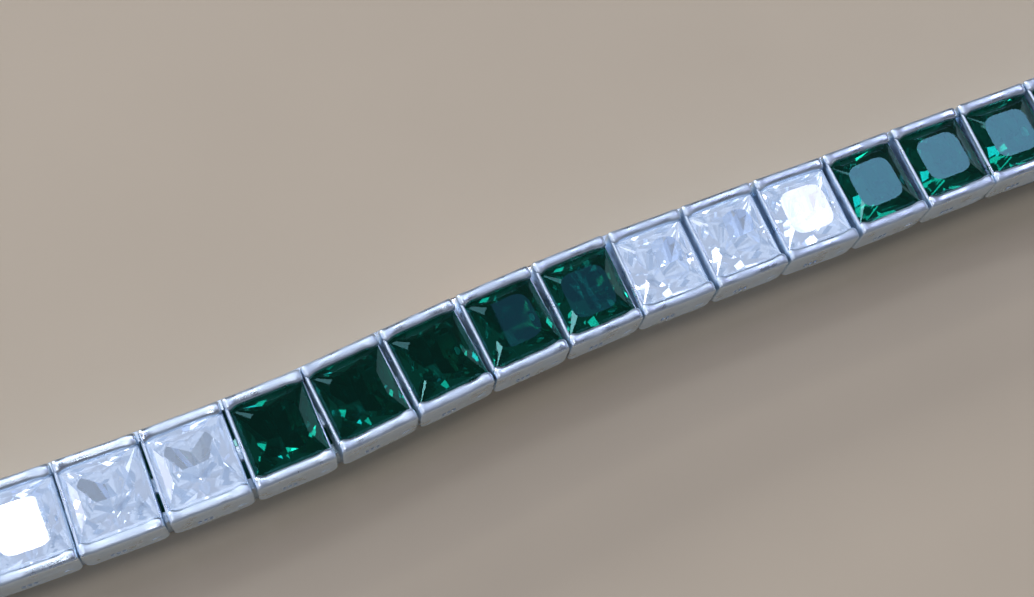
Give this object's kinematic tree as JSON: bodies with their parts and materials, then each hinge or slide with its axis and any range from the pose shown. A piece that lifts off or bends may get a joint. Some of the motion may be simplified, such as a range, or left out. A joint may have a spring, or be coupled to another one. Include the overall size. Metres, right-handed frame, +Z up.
{
  "type": "tennis bracelet",
  "caption": "Clasped tennis bracelet of hinged channel-set square stones, runs of dark green and of clear, lying flat face up with a plain box clasp under it.",
  "frame": {"origin": "middle of the bounding box, on the surface that the bracelet lies on", "axes": "+X along the bracelet, left to right as pictured; +Y away from the viewer; +Z up, the way the visible stones face"},
  "size_m": [0.0916, 0.0068, 0.0082],
  "materials": {
    "green_set_link": "polished rhodium-plated silver channel round a dark green faceted stone",
    "clear_set_link": "polished rhodium-plated silver channel round a clear faceted stone",
    "rhodium_silver": "polished rhodium-plated silver with fine wear",
    "green_stone": "dark green faceted glass-like stone",
    "clear_stone": "clear faceted stone"
  },
  "bodies": {
    "root": {"link_01_green": "green_set_link", "link_02_green": "green_set_link", "link_03_green": "green_set_link", "link_04_green": "green_set_link", "link_05_green": "green_set_link", "link_06_clear": "clear_set_link", "link_07_clear": "clear_set_link", "link_08_clear": "clear_set_link", "link_09_green": "green_set_link", "link_10_green": "green_set_link", "link_11_green": "green_set_link", "link_12_green": "green_set_link", "link_13_green": "green_set_link", "link_14_clear": "clear_set_link", "link_15_clear": "clear_set_link", "link_16_clear": "clear_set_link", "link_17_green": "green_set_link", "link_18_green": "green_set_link", "link_19_green": "green_set_link", "link_20_green": "green_set_link", "link_21_green": "green_set_link", "link_22_clear": "clear_set_link", "link_23_clear": "clear_set_link", "link_24_clear": "clear_set_link", "link_25_green": "green_set_link", "link_26_green": "green_set_link", "link_27_green": "green_set_link", "link_28_green": "green_set_link", "link_29_green": "green_set_link", "link_30_clear": "clear_set_link", "link_31_clear": "clear_set_link", "link_32_clear": "clear_set_link", "link_33_green": "green_set_link", "link_34_green": "green_set_link", "link_35_green": "green_set_link", "link_36_green": "green_set_link", "link_37_green": "green_set_link", "link_38_clear": "clear_set_link", "link_39_clear": "clear_set_link", "link_40_clear": "clear_set_link", "clasp": "rhodium_silver"}
  },
  "joints": []
}
